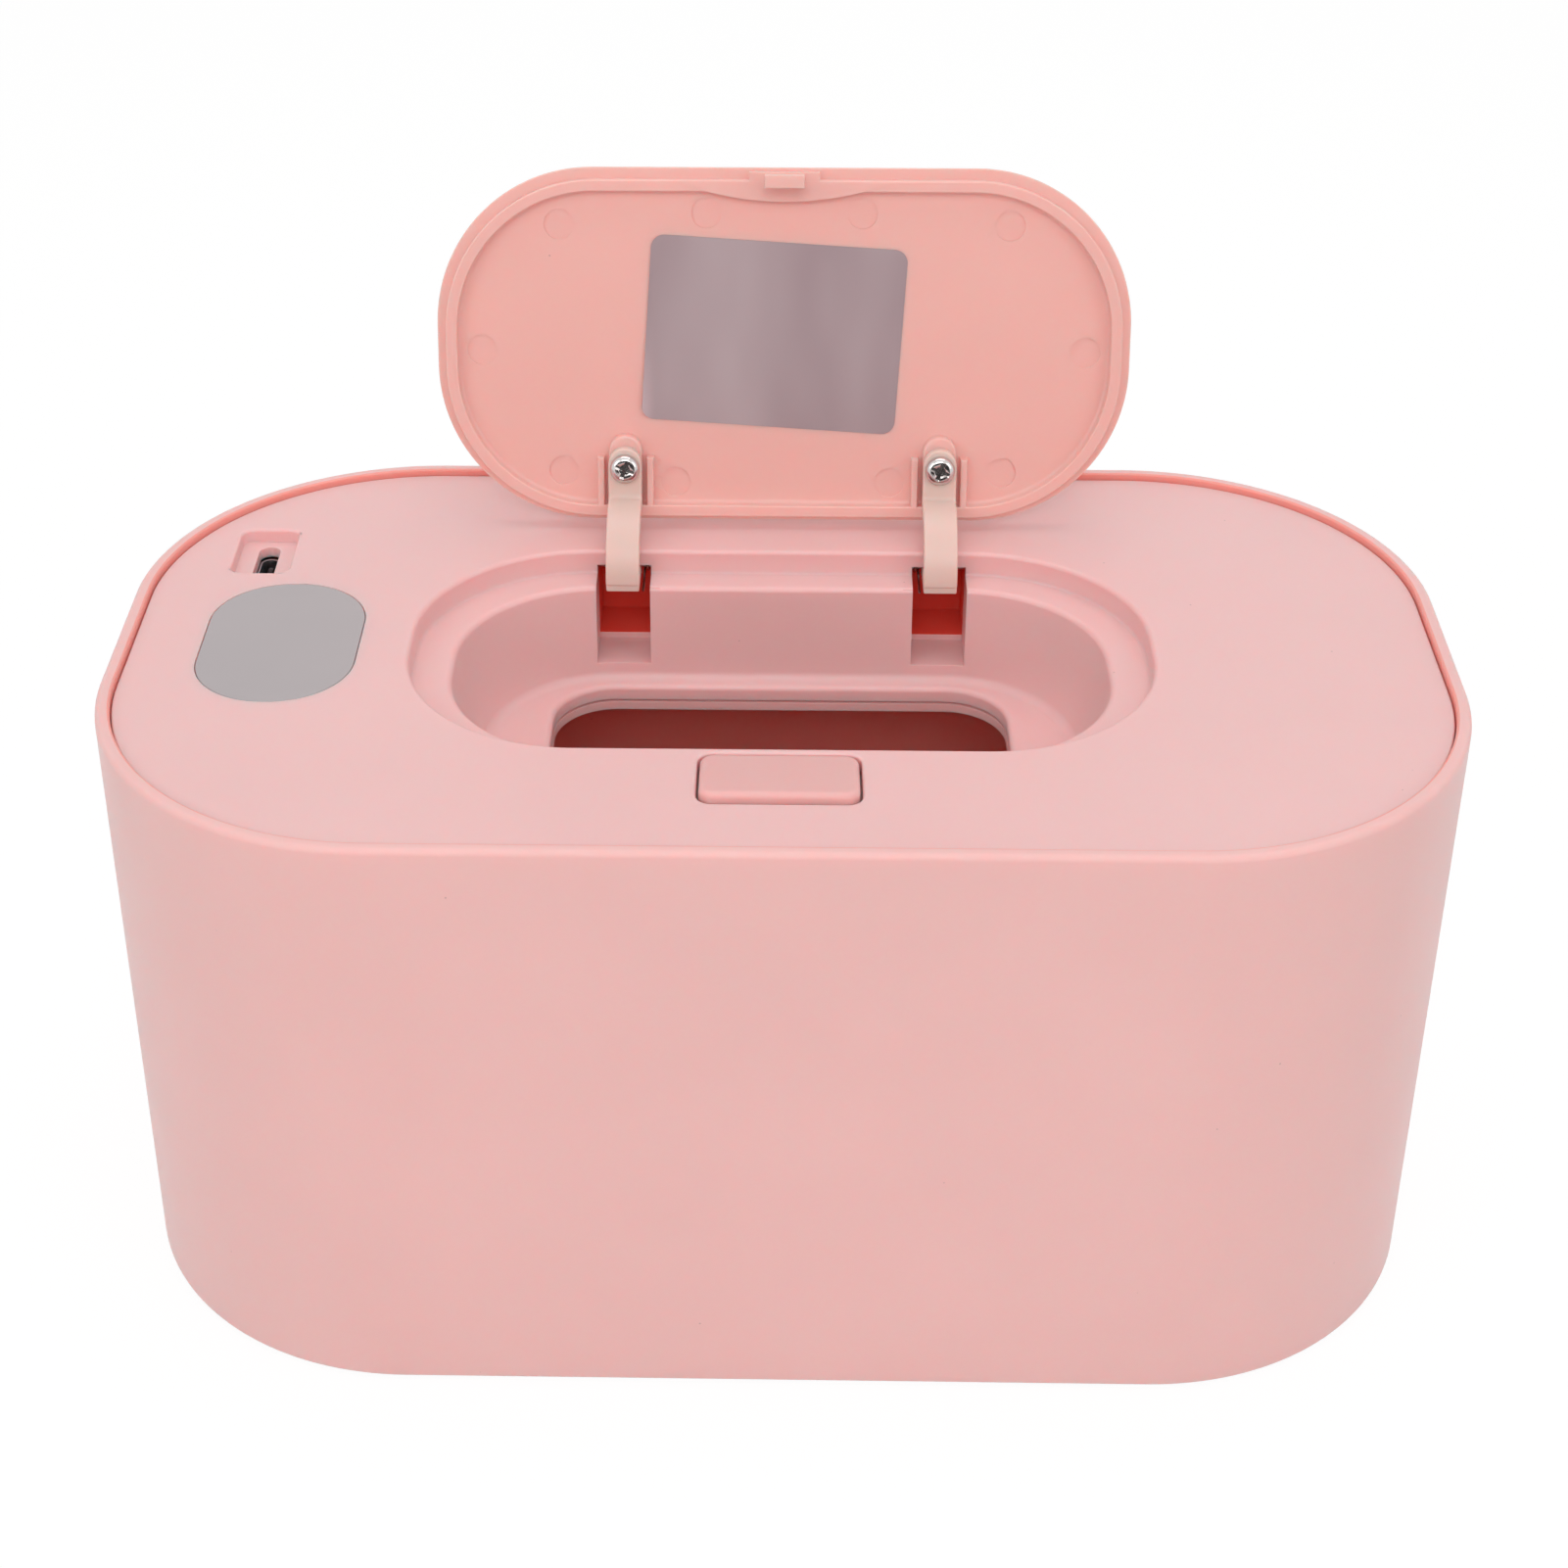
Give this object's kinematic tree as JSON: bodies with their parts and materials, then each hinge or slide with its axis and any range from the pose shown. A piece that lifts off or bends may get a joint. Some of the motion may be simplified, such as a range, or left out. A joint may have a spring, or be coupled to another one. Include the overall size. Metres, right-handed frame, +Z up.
{
  "type": "heated baby wipe dispenser",
  "caption": "Oval tub with a lift-off heated top cover, a sprung oval lid on two curved hinge arms over the dispensing opening, a push-button latch, a touch window and a charging port.",
  "frame": {"origin": "centre of the underside of the non-slip pad, on the surface it stands on", "axes": "+X along the tub's length (the touch window and charging port are at -X), +Y to the back, where the lid is hinged, +Z up"},
  "size_m": [0.196, 0.112, 0.1503],
  "materials": {
    "shell_plastic": "satin",
    "cover_plastic": "satin",
    "inner_plastic": "matt",
    "lid_plastic": "satin",
    "pad_silicone": "matt",
    "arm_plastic": "translucent, satin",
    "white_plastic": "satin",
    "window_plastic": "smooth, tinted",
    "screw_steel": "bright plated",
    "spring_steel": "drawn wire",
    "foil": "silver foil",
    "spreader_aluminium": "plain",
    "film_laminate": "amber film",
    "fuse_body": "matt",
    "wire_red": "matt",
    "wire_white": "matt",
    "board_laminate": "green solder mask",
    "chip_black": "matt black",
    "socket_steel": "plated"
  },
  "bodies": {
    "tub": {"body_shell": "shell_plastic", "base_pad": "pad_silicone"},
    "cover": {"top_cover": "cover_plastic", "inner_cover": "inner_plastic", "cover_screws": "screw_steel", "heat_spreader": "spreader_aluminium", "heating_film": "film_laminate", "thermistor": "chip_black", "thermal_fuse": "fuse_body", "heater_leads": "wire_red", "sensor_leads": "wire_white", "control_board": "board_laminate", "board_screws": "screw_steel", "control_chip": "chip_black", "heater_switch": "chip_black", "led_display": "chip_black", "touch_spring": "spring_steel", "touch_window": "window_plastic", "usb_shell": "socket_steel", "usb_insulator": "chip_black", "latch_spring": "spring_steel", "latch_guide": "white_plastic", "guide_screws": "screw_steel", "hinge_pins": "screw_steel", "hinge_springs": "spring_steel"},
    "lid": {"lid": "lid_plastic", "lid_sticker": "foil", "hinge_arm_left": "arm_plastic", "hinge_arm_right": "arm_plastic", "lid_screws": "screw_steel"},
    "button": {"latch_button": "cover_plastic"},
    "latch": {"latch_slider": "white_plastic"}
  },
  "joints": [
    {"name": "cover_lift", "type": "slide", "parent": "tub", "child": "cover", "axis": [0, 0, 1], "range_m": [0, 0.04]},
    {"name": "lid_hinge", "type": "hinge", "parent": "cover", "child": "lid", "pos_m": [0, 0.0333, 0.0896], "axis": [1, 0, 0], "range_deg": [0, 104.5], "stiffness_Nm_per_rad": 0.005, "springref_deg": -22.92},
    {"name": "button_press", "type": "slide", "parent": "cover", "child": "button", "axis": [0, 0, -1], "range_m": [0, 0.0016], "stiffness_N_per_m": 600, "springref_m": -0.001},
    {"name": "latch_slide", "type": "slide", "parent": "cover", "child": "latch", "axis": [0, -1, 0], "range_m": [0, 0.0016], "deforming": ["latch_spring"]}
  ],
  "couplings": [
    {"joint": "latch_slide", "follows": "button_press", "ratio": 1}
  ]
}
